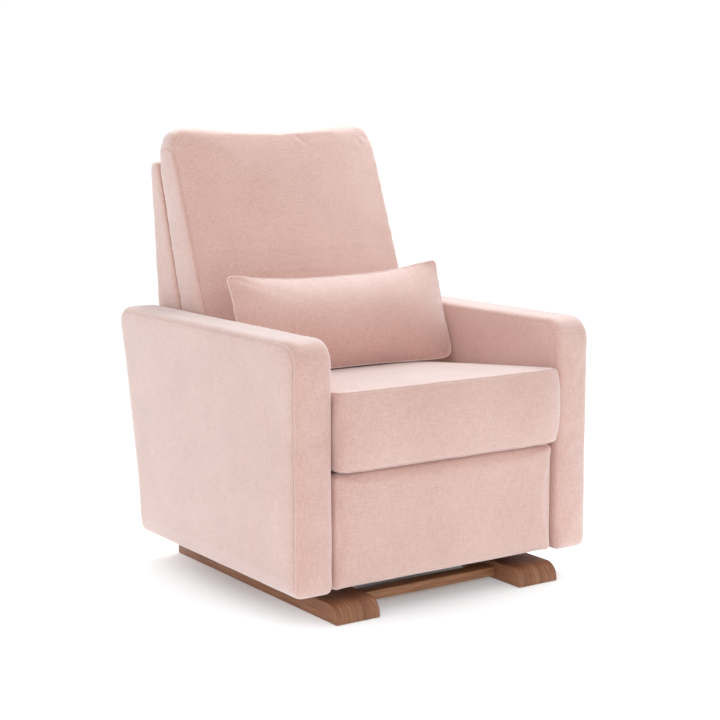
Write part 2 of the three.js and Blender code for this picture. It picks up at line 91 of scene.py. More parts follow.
class Shader:
    """Adds nodes to a new material and links them."""

    def __init__(self, name):
        self.material = bpy.data.materials.new(name)
        self.material.use_nodes = True
        self.tree = self.material.node_tree
        self.surface = self.tree.nodes["Principled BSDF"]
        self.place = self.add("ShaderNodeTexCoord").outputs["Object"]

    def add(self, kind, inputs=None, **settings):
        node = self.tree.nodes.new(kind)
        for key, value in settings.items():
            setattr(node, key, value)
        for key, value in (inputs or {}).items():
            if isinstance(value, bpy.types.NodeSocket):
                self.tree.links.new(value, node.inputs[key])
            else:
                node.inputs[key].default_value = value
        return node

    def link(self, output, key):
        self.tree.links.new(output, self.surface.inputs[key])

    def fix(self, **values):
        for key, value in values.items():
            self.surface.inputs[key.replace("_", " ")].default_value = value

    def stretched(self, scale):
        return self.add("ShaderNodeMapping", {"Vector": self.place, "Scale": scale}).outputs["Vector"]

    def noise(self, scale, detail=2.0, rough=0.5, vector=None):
        inputs = {"Vector": vector or self.place, "Scale": scale, "Detail": detail, "Roughness": rough}
        return self.add("ShaderNodeTexNoise", inputs).outputs["Fac"]

    def math(self, operation, first, second=0.0, third=0.0):
        return self.add("ShaderNodeMath", {0: first, 1: second, 2: third}, operation=operation).outputs[0]

    def ramp(self, factor, stops):
        node = self.add("ShaderNodeValToRGB", {"Fac": factor})
        elements = node.color_ramp.elements
        while len(elements) < len(stops):
            elements.new(0.5)
        for element, (position, colour) in zip(elements, stops):
            element.position = position
            element.color = colour
        return node.outputs["Color"]

    def multiply(self, first, second, share):
        inputs = {0: share, 6: first, 7: second}
        node = self.add("ShaderNodeMix", inputs, data_type="RGBA", blend_type="MULTIPLY")
        return node.outputs[2]

    def bump(self, height, strength, distance):
        inputs = {"Height": height, "Strength": strength, "Distance": distance}
        self.link(self.add("ShaderNodeBump", inputs).outputs["Normal"], "Normal")


def threads(shader, pitch):
    """A plain weave on any face that lies along two axes: 1 on the threads' crowns and 0 between."""
    parts = shader.add("ShaderNodeSeparateXYZ", {0: shader.place}).outputs
    rows = []
    for axis in "XYZ":
        turn = shader.math("MULTIPLY", parts[axis], 2 * math.pi / pitch)
        rows.append(shader.math("MULTIPLY_ADD", shader.math("SINE", turn), 0.5, 0.5))
    total = shader.math("MULTIPLY", rows[0], rows[1])
    total = shader.math("MULTIPLY_ADD", rows[1], rows[2], total)
    return shader.math("MULTIPLY_ADD", rows[2], rows[0], total)


def woven(name, light, mid, dark, pitch=0.0016, sheen=1.0, contrast=1.0):
    """A heathered plain weave: slubs along and across in slightly different shades, and a soft nap."""
    s = Shader(name)
    heather = 0.0
    for axis in "XYZ":
        along = [52 if here == axis else 440 for here in "XYZ"]
        heather = s.math("MULTIPLY_ADD", s.noise(1.0, 3.0, 0.6, s.stretched(along)), 1 / 3, heather)
    speck = s.noise(420.0, 2.0, 0.6)
    cloud = s.noise(7.0, 3.0, 0.55)
    tone = s.math("MULTIPLY_ADD", speck, 0.14, s.math("MULTIPLY", cloud, 0.16))
    tone = s.math("MULTIPLY_ADD", heather, 0.70, tone)
    spread = 0.15 / contrast
    colour = s.ramp(tone, [(0.5 - spread, dark), (0.5, mid), (0.5 + spread, light)])
    s.link(colour, "Base Color")
    height = s.math("MULTIPLY_ADD", heather, 1.6, s.math("MULTIPLY", threads(s, pitch), 0.4))
    s.bump(height, 0.35, 0.0006)
    s.link(s.math("MULTIPLY_ADD", heather, 0.14, 0.55), "Roughness")
    s.fix(Sheen_Weight=sheen, Sheen_Roughness=0.6, Sheen_Tint=(1.0, 1.0, 1.0, 1.0), Specular_IOR_Level=0.5)
    return s.material


def grained(name, stops, axis="Y", fine=330, gloss=0.42, coat=0.05, pore=0.6, figure=0.26, over=False):
    """Wood with its grain along one axis: faint growth bands, streaks, and fine open pores.
    The grain can also run over a rounded end, as it does in a bent lamination."""
    s = Shader(name)
    if over:
        facing = s.add("ShaderNodeTexCoord").outputs["Normal"]
        sideways = s.math("ABSOLUTE", s.add("ShaderNodeSeparateXYZ", {0: facing}).outputs["X"])
        kept = s.add("ShaderNodeCombineXYZ", {0: 1.0, 1: 1.0, 2: sideways}).outputs[0]
        s.place = s.add("ShaderNodeVectorMath", {0: s.place, 1: kept}, operation="MULTIPLY").outputs[0]

    def along(across, lengthwise):
        return [lengthwise if here == axis else across for here in "XYZ"]

    band = s.noise(1.0, 3.0, 0.55, s.stretched(along(46, 2.2)))
    streak = s.noise(1.0, 4.0, 0.62, s.stretched(along(fine, 9)))
    thread = s.noise(1.0, 2.0, 0.5, s.stretched(along(3.2 * fine, 22)))
    pores = s.noise(1.0, 2.0, 0.5, s.stretched(along(4 * fine, 34)))
    tone = s.math("MULTIPLY_ADD", band, figure, s.math("MULTIPLY", streak, 0.48))
    tone = s.math("MULTIPLY_ADD", thread, 0.84 - figure - 0.32, tone)
    shade = s.ramp(pores, [(0.30, (0.52, 0.48, 0.45, 1.0)), (0.42, (1.0, 1.0, 1.0, 1.0))])
    s.link(s.multiply(s.ramp(tone, stops), shade, pore), "Base Color")
    s.link(s.math("MULTIPLY_ADD", streak, 0.22, gloss), "Roughness")
    s.bump(s.math("MULTIPLY_ADD", streak, 0.6, pores), 0.15, 0.0003)
    s.fix(Coat_Weight=coat, Coat_Roughness=0.3)
    return s.material


def metal(name, colour, worn, metallic, rough, brushed=False):
    """Stamped steel: fine scratches or a pebbled powder coat, smudges and rubbed spots."""
    s = Shader(name)
    fine = s.noise(1.0, 3.0, 0.6, s.stretched((90, 90, 1400))) if brushed else s.noise(950.0, 2.0, 0.5)
    smudge = s.noise(22.0, 4.0, 0.6)
    rub = s.noise(70.0, 5.0, 0.65)
    s.link(s.ramp(rub, [(0.45, colour), (0.74, worn)]), "Base Color")
    spread = s.math("MULTIPLY_ADD", smudge, 0.22, s.math("MULTIPLY", fine, 0.10))
    s.link(s.math("ADD", spread, rough), "Roughness")
    s.bump(fine, 0.25 if brushed else 0.4, 0.0003)
    s.fix(Metallic=metallic)
    return s.material


BLUSH = woven("blush", srgb(234, 197, 187), srgb(218, 175, 163), srgb(195, 147, 135))
SEAM = woven("blush_seam", srgb(226, 184, 172), srgb(208, 162, 148), srgb(188, 138, 124), pitch=0.0011)
# A much lighter copy of the fabric, a painted highlight: the pillow's rim seam wears it so the rim reads
# bright, as sheen on the edge would make it.
RIM_HIGHLIGHT = woven("blush_painted_highlight", srgb(252, 230, 222), srgb(246, 218, 208), srgb(232, 200, 189), pitch=0.0011)
WALNUT_SHADES = [
    (0.28, srgb(94, 54, 32)), (0.42, srgb(126, 78, 50)),
    (0.52, srgb(148, 98, 67)), (0.68, srgb(176, 128, 95)),
]
BAR_SHADES = [
    (0.28, srgb(118, 74, 46)), (0.42, srgb(154, 102, 68)),
    (0.52, srgb(176, 124, 86)), (0.68, srgb(200, 152, 114)),
]
WALNUT = grained("walnut", WALNUT_SHADES, over=True)
WALNUT_ACROSS = grained("walnut_across", BAR_SHADES, axis="X")
TIMBER_SHADES = [(0.3, srgb(178, 140, 96)), (0.5, srgb(204, 170, 124)), (0.7, srgb(224, 196, 152))]
TIMBER = grained("timber", TIMBER_SHADES, "Z", 200, gloss=0.55, coat=0.0, pore=0.4, figure=0.3)
TIMBER_ACROSS = grained("timber_across", TIMBER_SHADES, "X", 200, gloss=0.55, coat=0.0, pore=0.4, figure=0.3)
ZINC = metal("zinc", srgb(186, 188, 190), srgb(150, 150, 150), 1.0, 0.24, brushed=True)
BLACK = metal("black_steel", srgb(38, 39, 42), srgb(66, 66, 68), 0.35, 0.36)
SPRING = metal("spring_steel", srgb(70, 71, 74), srgb(112, 110, 106), 0.9, 0.28, brushed=True)
WEBBING = woven("webbing", srgb(92, 84, 76), srgb(70, 63, 57), srgb(46, 41, 37), pitch=0.0028, sheen=0.1)


# ---------------------------------------------------------------- mesh helpers


def coords(mesh):
    points = np.empty(len(mesh.vertices) * 3, np.float32)
    mesh.vertices.foreach_get("co", points)
    return points.reshape(-1, 3).astype(float)


def place(mesh, points):
    mesh.vertices.foreach_set("co", points.astype(np.float32).ravel())
    mesh.update()


def normals(mesh):
    directions = np.empty(len(mesh.vertices) * 3, np.float32)
    mesh.vertex_normals.foreach_get("vector", directions)
    return directions.reshape(-1, 3).astype(float)


def added(name, mesh, material):
    piece = bpy.data.objects.new(name, mesh)
    bpy.context.scene.collection.objects.link(piece)
    mesh.materials.clear()
    mesh.materials.append(material)
    mesh.polygons.foreach_set("use_smooth", [True] * len(mesh.polygons))
    return piece


def settle(piece):
    """Applies a piece's modifiers."""
    depsgraph = bpy.context.evaluated_depsgraph_get()
    mesh = bpy.data.meshes.new_from_object(piece.evaluated_get(depsgraph))
    piece.modifiers.clear()
    piece.data = mesh
    mesh.polygons.foreach_set("use_smooth", [True] * len(mesh.polygons))


def relax(mesh, times, held=None, strength=0.6):
    """Moves each point towards the middle of its neighbours, except where it is held."""
    edges = np.empty(len(mesh.edges) * 2, np.int32)
    mesh.edges.foreach_get("vertices", edges)
    one, two = edges.reshape(-1, 2).T
    points = coords(mesh)
    count = len(points)
    degree = np.bincount(one, minlength=count) + np.bincount(two, minlength=count)
    free = strength * (1.0 if held is None else 1.0 - held)
    for _ in range(times):
        middle = np.empty_like(points)
        for axis in range(3):
            total = np.bincount(one, points[two, axis], count) + np.bincount(two, points[one, axis], count)
            middle[:, axis] = total / degree
        points += (middle - points) * np.reshape(free, (-1, 1))
    place(mesh, points)


def dense(line, closed, step=0.0015):
    """A line's points, evenly spaced."""
    corners = [Vector(point) for point in line]
    if closed:
        corners.append(corners[0])
    made = []
    for start, end in zip(corners, corners[1:]):
        count = max(1, math.ceil((end - start).length / step))
        made += [start.lerp(end, k / count) for k in range(count)]
    return made if closed else made + [corners[-1]]


def nearness(mesh, lines, reach):
    """For the points of a mesh near some lines: their numbers and distances."""
    points = coords(mesh)
    tree = KDTree(len(points))
    for number, point in enumerate(points):
        tree.insert(point, number)
    tree.balance()
    closest = {}
    for line, closed in lines:
        for spot in dense(line, closed, 0.002):
            for _, number, distance in tree.find_range(spot, reach):
                if distance < closest.get(number, reach):
                    closest[number] = distance
    return np.fromiter(closest.keys(), int), np.fromiter(closest.values(), float)


def skin(mesh):
    """A mesh's faces, as a tree that finds the nearest one."""
    return BVHTree.FromPolygons([v.co for v in mesh.vertices], [p.vertices for p in mesh.polygons])


def laid(mesh, line, closed, step=0.003):
    """A line's points, dropped onto a mesh."""
    tree = skin(mesh)
    return [tree.find_nearest(spot)[0] for spot in dense(line, closed, step)]


# ---------------------------------------------------------------- seams and creases


def pressed(piece, lines, depth, width):
    """Draws the surface in along lines, as thread does."""
    mesh = piece.data
    numbers, distances = nearness(mesh, lines, width * 2.6)
    if not len(numbers):
        return
    points, out = coords(mesh), normals(mesh)
    points[numbers] -= out[numbers] * (depth * np.exp(-((distances / width) ** 2)))[:, None]
    place(mesh, points)


def meshed(curve, name, material):
    """A curve's tube as a mesh piece."""
    thing = bpy.data.objects.new(name, curve)
    bpy.context.scene.collection.objects.link(thing)
    depsgraph = bpy.context.evaluated_depsgraph_get()
    mesh = bpy.data.meshes.new_from_object(thing.evaluated_get(depsgraph))
    bpy.data.objects.remove(thing)
    bpy.data.curves.remove(curve)
    return added(name, mesh, material)


def tube(name, points, closed, radius, material, round_steps=1):
    """A round cord of one radius through some points."""
    curve = bpy.data.curves.new(name, "CURVE")
    curve.dimensions = "3D"
    curve.bevel_depth = radius
    curve.bevel_resolution = round_steps
    curve.use_fill_caps = not closed
    spline = curve.splines.new("POLY")
    spline.points.add(len(points) - 1)
    for point, spot in zip(spline.points, points):
        point.co = [*spot, 1.0]
    spline.use_cyclic_u = closed
    return meshed(curve, name, material)


def welted(piece, name, line, closed=True, radius=0.0009, sink=0.0006, depth=0.0013, width=0.0036, look=SEAM):
    """A seam: the surface drawn in along a line, with the seam's folded edge lying in it."""
    on_skin = laid(piece.data, line, closed)
    pressed(piece, [(on_skin, closed)], depth, width)
    tree = skin(piece.data)
    spots = []
    for spot in on_skin:
        where, outwards = tree.find_nearest(spot)[:2]
        spots.append(where + outwards * (radius - sink))
    seam = tube(name, spots, closed, radius, look)
    seam.parent = piece
    return seam


def creased(piece, start, end, depth, width):
    """A soft fold between two points, deepest in its middle."""
    start, end = Vector(start), Vector(end)
    mesh = piece.data
    tree = skin(mesh)
    points, out = coords(mesh), normals(mesh)
    steps = 40
    line = np.array([tree.find_nearest(start.lerp(end, k / steps))[0] for k in range(steps + 1)])
    low, high = line.min(0) - 3 * width, line.max(0) + 3 * width
    near = np.nonzero(((points > low) & (points < high)).all(1))[0]
    gaps = np.linalg.norm(points[near][:, None] - line[None], axis=2)
    nearest = gaps.argmin(1)
    distance = gaps.min(1)
    taper = np.sin(np.pi * nearest / steps) ** 0.8
    valley = np.exp(-((distance / width) ** 2)) - 0.45 * np.exp(-(((distance - 1.9 * width) / width) ** 2))
    points[near] -= out[near] * (depth * taper * valley)[:, None]
    place(mesh, points)


def rippled(piece, depth, size, seed):
    """Slow unevenness, which every stuffed cover has."""
    mesh = piece.data
    points, out = coords(mesh), normals(mesh)
    offset = Vector((seed * 3.1, seed * 1.7, seed * 2.3))
    heights = np.array([noise.noise(Vector(point) / size + offset) for point in points])
    place(mesh, points + out * (depth * heights)[:, None])


# ---------------------------------------------------------------- outlines


def squircle(u, v, power):
    """A point of a square moved onto a square with rounded corners."""
    size = (abs(u) ** power + abs(v) ** power) ** (1 / power)
    scale = max(abs(u), abs(v)) / max(size, 1e-9)
    return u * scale, v * scale


def border(count=24):
    """The border of the square from -1 to 1, in order."""
    steps = [2 * k / count - 1 for k in range(count)]
    lower, right = [(t, -1) for t in steps], [(1, t) for t in steps]
    upper, left = [(-t, 1) for t in steps], [(-1, -t) for t in steps]
    return lower + right + upper + left


def seat_rim(height):
    """The seat cushion's outline, at a height that depends on y."""
    line = []
    for u, v in border(40):
        a, b = squircle(u, v, 22)
        y = SEAT_SEAM["front"] + (SEAT_SEAM["rear"] - SEAT_SEAM["front"]) * (b + 1) / 2
        line.append((SEAT_SEAM["half"] * a, y, height(y)))
    return line


def seat_top(y):
    return SEAT_SEAM["top"] - SEAT_SEAM["fall"] * (y - SEAT_SEAM["front"])


def on_pillow(u, v):
    """A point of the pillow's rim plane: its ears stand up, and its foot is flat on the seat."""
    a, b = squircle(u, v, 12)
    waist = 0.048 * (1 - b**4) if b > 0 else 0.048 - 0.012 * b * b
    top = 0.096 + 0.031 * abs(a) ** 3 + 0.004 * a
    foot = -0.110 - 0.007 * abs(a) ** 2.5
    along = foot + (top - foot) * (b + 1) / 2
    return PILLOW["half"] * a * (1 - waist), along


def in_room(across, along, out=0.0):
    """A point given in the pillow's plane, and how far behind it."""
    lean_y, lean_z = math.sin(PILLOW["lean"]), math.cos(PILLOW["lean"])
    return (across, PILLOW["y"] + lean_y * along + lean_z * out, PILLOW["z"] + lean_z * along - lean_y * out)


def pillow_rim():
    return [in_room(*on_pillow(u, v)) for u, v in border(60)]


def back_side(sign):
    """The seam round one of the back cushion's side panels, which stops short of the top corner."""
    low, high, bow = 0.446, 0.900, 0.034
    front = lambda z: LEAN_FRONT[0] + LEAN_FRONT[2] * (min(z, CURVE_TOP) - LEAN_FRONT[1]) + 0.003
    rear = lambda z: LEAN_REAR[0] + LEAN_REAR[2] * (min(z, CURVE_TOP) - LEAN_REAR[1]) - 0.003
    heights = [low + (high - low) * k / 40 for k in range(41)]
    middle, reach = (front(high) + rear(high)) / 2, (rear(high) - front(high)) / 2
    turn = np.linspace(0, math.pi, 17)[1:-1]
    cap = [(middle - reach * math.cos(a), high + bow * math.sin(a)) for a in turn]
    line = [(front(z), z) for z in heights] + cap + [(rear(z), z) for z in reversed(heights)]
    return [(sign * (BACK_HALF + 0.004), y, z) for y, z in line]


def face_rim(node, direction, grow, sink):
    """The outline of a CAD node's faces that face one way, widened and sunk onto its rounded edge."""
    direction = Vector(direction)
    bm = bmesh.new()
    bm.from_mesh(frame["nodes"][node].data)
    bmesh.ops.remove_doubles(bm, verts=bm.verts, dist=1e-5)
    facing = {face for face in bm.faces if face.normal.dot(direction) > 0.999}
    farthest = max(face.calc_center_median().dot(direction) for face in facing)
    facing = {face for face in facing if face.calc_center_median().dot(direction) > farthest - 0.001}
    following = {}
    for face in facing:
        for loop in face.loops:
            if loop.link_loop_radial_next.face not in facing:
                following[loop.vert] = loop.link_loop_next.vert
    start = next(iter(following))
    ring = [start]
    while following[ring[-1]] is not start:
        ring.append(following[ring[-1]])
    line = []
    for before, here, after in zip([ring[-1], *ring], ring, [*ring[1:], ring[0]]):
        outwards = (here.co - before.co).normalized() + (after.co - here.co).normalized()
        outwards = outwards.cross(direction).normalized()
        line.append(here.co + outwards * grow - direction * sink)
    bm.free()
    return line


def stretch(ring, passes):
    """The one stretch of a closed line whose points all pass a test."""
    first = next(k for k, spot in enumerate(ring) if passes(spot) and not passes(ring[k - 1]))
    turned = ring[first:] + ring[:first]
    return turned[:next(k for k, spot in enumerate(turned) if not passes(spot))]


# ---------------------------------------------------------------- stuffed pieces


def blank(node, name, voxel, shrink, hull=False, smooth=6):
    """A CAD soft solid's shape, evenly remeshed and a little smaller, ready to be inflated."""
    bm = bmesh.new()
    source = frame["nodes"][node].data
    if hull:
        for vertex in source.vertices:
            bm.verts.new(vertex.co)
        bmesh.ops.remove_doubles(bm, verts=bm.verts, dist=1e-5)
        inside = bmesh.ops.convex_hull(bm, input=bm.verts)["geom_interior"]
        bmesh.ops.delete(bm, geom=[v for v in inside if isinstance(v, bmesh.types.BMVert)], context="VERTS")
    else:
        bm.from_mesh(source)
        bmesh.ops.remove_doubles(bm, verts=bm.verts, dist=1e-5)
    surface = BVHTree.FromBMesh(bm)
    mesh = bpy.data.meshes.new(name)
    bm.to_mesh(mesh)
    bm.free()
    piece = added(name, mesh, BLUSH)
    remesh = piece.modifiers.new("Remesh", "REMESH")
    remesh.mode = "VOXEL"
    remesh.voxel_size = voxel
    settle(piece)
    relax(piece.data, 3)
    place(piece.data, np.array([surface.find_nearest(point)[0] for point in coords(piece.data)]))
    relax(piece.data, smooth)
    place(piece.data, coords(piece.data) - normals(piece.data) * shrink)
    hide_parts(node)
    return piece


def held_by(piece, lines, reach=0.014, also=None):
    """How firmly seams, and anything the piece rests on, hold each point: from 0 to 1."""
    grip = np.zeros(len(piece.data.vertices))
    numbers, distances = nearness(piece.data, lines, reach)
    grip[numbers] = np.clip((reach - distances) / (0.55 * reach), 0, 1)
    if also is not None:
        grip = np.maximum(grip, also(coords(piece.data)))
    return grip


def inflate(jobs):
    """Blows the pieces up together with Blender's cloth, and caps how far each point may go.
    A job is (piece, grip, pressure, cap, stiffness)."""
    scene = bpy.context.scene
    scene.frame_start, scene.frame_end = 1, FRAMES
    starts = [coords(piece.data) for piece, *_ in jobs]
    for piece, grip, pressure, _, stiffness in jobs:
        group = piece.vertex_groups.new(name="held")
        for number in np.nonzero(grip > 0)[0]:
            group.add([int(number)], float(grip[number]), "REPLACE")
        cloth = piece.modifiers.new("Inflate", "CLOTH")
        cloth.point_cache.frame_start = 1
        cloth.point_cache.frame_end = FRAMES
        settings = cloth.settings
        settings.quality = 4
        settings.mass = 0.3
        settings.tension_stiffness = settings.compression_stiffness = stiffness
        settings.shear_stiffness = stiffness / 2
        settings.bending_stiffness = 0.6
        settings.use_pressure = True
        settings.uniform_pressure_force = pressure
        settings.effector_weights.gravity = 0
        settings.vertex_group_mass = "held"
        settings.pin_stiffness = 1.0
    for number in range(1, FRAMES + 1):
        scene.frame_set(number)
    depsgraph = bpy.context.evaluated_depsgraph_get()
    for (piece, grip, _, cap, _), start in zip(jobs, starts):
        step = coords(piece.evaluated_get(depsgraph).data) - start
        length = np.linalg.norm(step, axis=1)
        step *= np.minimum(1.0, cap / np.maximum(length, 1e-9))[:, None]
        piece.modifiers.clear()
        piece.vertex_groups.clear()
        place(piece.data, start + step)
        relax(piece.data, 3, grip)
    scene.frame_set(1)


def fitted(piece, node, proud, more=(0.0, 0.0, 0.0)):
    """Stretches a piece a little, so that it fills its CAD solid's box and stands a little proud of it,
    and a little more at the box's low sides."""
    low, high = (np.array(corner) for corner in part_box(node))
    low, high = low - proud - more, high + proud
    points = coords(piece.data)
    least, most = points.min(0), points.max(0)
    place(piece.data, low + (points - least) / (most - least) * (high - low))


def finer(piece):
    piece.modifiers.new("Fine", "SUBSURF").levels = 1
    settle(piece)


def crowned(piece):
    """Lifts the back cushion's top edge, most at its middle, so that it only dips a little, and lets its
    rear settle against the outside back."""
    points = coords(piece.data)
    lift = np.interp(points[:, 0], [-0.27, -0.18, 0.0, 0.15, 0.25], [0.0, 0.005, 0.011, 0.011, 0.008])
    points[:, 2] += lift * np.clip((points[:, 2] - 0.86) / 0.08, 0, 1)
    rear = LEAN_REAR[0] + LEAN_REAR[2] * (np.minimum(points[:, 2], CURVE_TOP) - LEAN_REAR[1])
    points[:, 1] += 0.006 * np.clip(1 - (rear - points[:, 1]) / 0.05, 0, 1)
    place(piece.data, points)


def below(height, soft=0.006):
    """Holds what is under a height."""
    return lambda points: np.clip((height - points[:, 2]) / soft + 1, 0, 1)


def gathered(piece, line, closed, depth, reach, pitch, seed):
    """Small puckers that run away from a seam and fade out."""
    mesh = piece.data
    spots = dense(line, closed, 0.003)
    tree = KDTree(len(spots))
    for number, spot in enumerate(spots):
        tree.insert(spot, number)
    tree.balance()
    points, out = coords(mesh), normals(mesh)
    for number, point in enumerate(points):
        _, nearest, distance = tree.find(point)
        if distance < 3 * reach:
            wave = noise.noise(Vector((nearest * 0.003 / pitch, seed, distance / (3 * reach))))
            fade = math.exp(-distance / reach) * min(1.0, distance / 0.004)
            points[number] += out[number] * (depth * wave * fade)
    place(mesh, points)


# ---------------------------------------------------------------- the soft pieces


def arm_job(side, sign):
    node = f"{side}_arm"
    piece = blank(node, f"{side}_arm_cover", voxel=0.0055, shrink=0.002, hull=True, smooth=1)
    low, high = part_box(node)

    def sewn(spot):
        """Seams run up the front and over the top."""
        return spot.y < low.y + 0.03 or spot.z > high.z - 0.03

    seams = [(stretch(face_rim(node, (toward, 0, 0), 0.0015, 0.0), sewn), False) for toward in (sign, -sign)]
    grip = np.maximum(0.3 * held_by(piece, seams, 0.012), below(low.z + 0.006)(coords(piece.data)))
    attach(piece, "carriage")
    return piece, seams, (piece, grip, 3.0, 0.0036, 30)


def seat_job():
    piece = blank("seat_cushion", "seat_cushion_cover", voxel=0.0055, shrink=0.006)
    low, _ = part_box("seat_cushion")
    seams = [(seat_rim(seat_top), True), (seat_rim(lambda y: low.z - 0.001), True)]
    grip = 0.7 * held_by(piece, seams, 0.018)
    grip = np.maximum(grip, below(low.z + 0.008)(coords(piece.data)))
    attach(piece, "carriage")
    return piece, seams, (piece, grip, 5.0, 0.010, 15)


def back_job():
    piece = blank("back_cushion", "back_cushion_cover", voxel=0.0055, shrink=0.005, smooth=4)
    seams = [(back_side(1), True), (back_side(-1), True)]

    def rests(points):
        """Its rear lies against the shell."""
        depth = LEAN_REAR[0] + LEAN_REAR[2] * (points[:, 2] - LEAN_REAR[1]) - points[:, 1]
        return np.where((depth < 0.012) & (points[:, 2] < 0.90), 1.0, 0.0)

    grip = np.maximum(0.6 * held_by(piece, seams, 0.018), rests(coords(piece.data)))
    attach(piece, "backrest")
    return piece, seams, (piece, grip, 5.0, 0.012, 15)


def pad_job():
    piece = blank("footrest_pad", "footrest_cover", voxel=0.0045, shrink=0.002, smooth=2)
    _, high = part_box("footrest_pad")
    grip = np.clip((coords(piece.data)[:, 1] - high.y) / 0.004 + 2, 0, 1)
    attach(piece, "footrest_panel")
    return piece, [], (piece, grip, 4.0, 0.004, 30)


def shell_job():
    piece = blank("back_shell", "outside_back_cover", voxel=0.006, shrink=0.0015)
    low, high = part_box("back_shell")
    seams = [(face_rim("back_shell", (toward, 0, 0), 0.0028, 0.0012), True) for toward in (1, -1)]

    def inside(points):
        """Only the outside back can swell: the rest is stretched over the frame."""
        edge = np.interp(points[:, 2], [0.238, 0.577, 0.885], [0.3195, 0.3845, 0.410]) - 0.010
        return np.where(points[:, 1] < edge, 1.0, 0.0)

    grip = held_by(piece, seams, 0.016, inside)
    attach(piece, "backrest")
    return piece, seams, (piece, grip, 3.0, 0.003, 30)


def rear_panel_job():
    piece = blank("rear_panel", "rear_panel_cover", voxel=0.005, shrink=0.001, smooth=3)
    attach(piece, "carriage")
    return piece, [], (piece, np.full(len(piece.data.vertices), 0.5), 1.0, 0.001, 40)


def pillow_job(columns=120, rows=52):
    """A knife-edged pillow: two sheets sewn together round their rim."""
    bm = bmesh.new()
    spread = lambda k, count: math.sin((math.pi / 2) * (2 * k / count - 1))

    def vertex(i, j, depth):
        u, v = spread(i, columns), spread(j, rows)
        swell = depth * (1 - abs(u) ** 3.4) * (1 - abs(v) ** 2.1) ** 0.9
        return bm.verts.new(in_room(*on_pillow(u, v), swell))

    front = [[vertex(i, j, -PILLOW["front"]) for i in range(columns + 1)] for j in range(rows + 1)]
    back = []
    for j in range(rows + 1):
        rim = j in (0, rows)
        shared = [rim or i in (0, columns) for i in range(columns + 1)]
        back.append([front[j][i] if here else vertex(i, j, PILLOW["rear"]) for i, here in enumerate(shared)])
    for j in range(rows):
        for i in range(columns):
            bm.faces.new([front[j][i], front[j][i + 1], front[j + 1][i + 1], front[j + 1][i]])
            bm.faces.new([back[j][i], back[j + 1][i], back[j + 1][i + 1], back[j][i + 1]])
    bmesh.ops.recalc_face_normals(bm, faces=bm.faces)
    mesh = bpy.data.meshes.new("lumbar_pillow_cover")
    bm.to_mesh(mesh)
    bm.free()
    piece = added("lumbar_pillow_cover", mesh, BLUSH)
    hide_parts("lumbar_pillow")
    seams = [(pillow_rim(), True)]
    grip = held_by(piece, seams, 0.016)
    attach(piece, "pillow")
    return piece, seams, (piece, grip, 5.0, 0.008, 12)


def wrap_job(name, body, ring, section):
    """Fabric turned over the edges of a board: a thin section carried round a ring of (point, outwards)."""
    bm = bmesh.new()
    loops = []
    for spot, outwards in ring:
        spot, outwards = Vector(spot), Vector(outwards)
        loops.append([bm.verts.new(spot + outwards * out + Vector((0, y, 0))) for out, y in section])
    for one, two in zip(loops, [*loops[1:], loops[0]]):
        for k in range(len(section)):
            after = (k + 1) % len(section)
            bm.faces.new([one[k], one[after], two[after], two[k]])
    bmesh.ops.recalc_face_normals(bm, faces=bm.faces)
    mesh = bpy.data.meshes.new(name)
    bm.to_mesh(mesh)
    bm.free()
    piece = added(name, mesh, BLUSH)
    mesh.set_sharp_from_angle(angle=math.radians(50))
    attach(piece, body)
    return piece


def make_wraps():
    """The footrest board's fabric is turned over its edges, and the front rail is covered."""
    low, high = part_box("footrest_board")
    thick, corner, gap = 0.0014, 0.006, 0.0001
    ring = []
    for sx, sz, start in ((1, -1, -90), (1, 1, 0), (-1, 1, 90), (-1, -1, 180)):
        centre = (sx * (high.x - corner), 0, (high.z if sz > 0 else low.z) - sz * corner)
        for k in range(7):
            angle = math.radians(start + 15 * k)
            outwards = (math.cos(angle), 0, math.sin(angle))
            spot = Vector(centre) + Vector(outwards) * corner
            ring.append((spot, outwards))
    front, rear = low.y, high.y
    section = [
        (gap, front + 2 * gap), (thick, front + 2 * gap), (thick, rear + thick - 0.001),
        (thick - 0.001, rear + thick), (-corner, rear + thick), (-corner, rear + gap),
        (gap, rear + gap),
    ]
    wrap_job("footrest_wrap", "footrest_panel", ring, section)
    low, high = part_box("front_seat_rail")
    outline = [(low.y - thick, low.z - thick), (high.y, low.z - thick), (high.y, low.z - gap),
               (low.y - gap, low.z - gap), (low.y - gap, high.z + gap), (high.y, high.z + gap),
               (high.y, high.z + thick), (low.y - thick, high.z + thick)]
    cover = prism("front_rail_cover", outline, low.x + 0.002, high.x - 0.002, BLUSH, 0.0005, 2)
    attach(cover, "carriage")


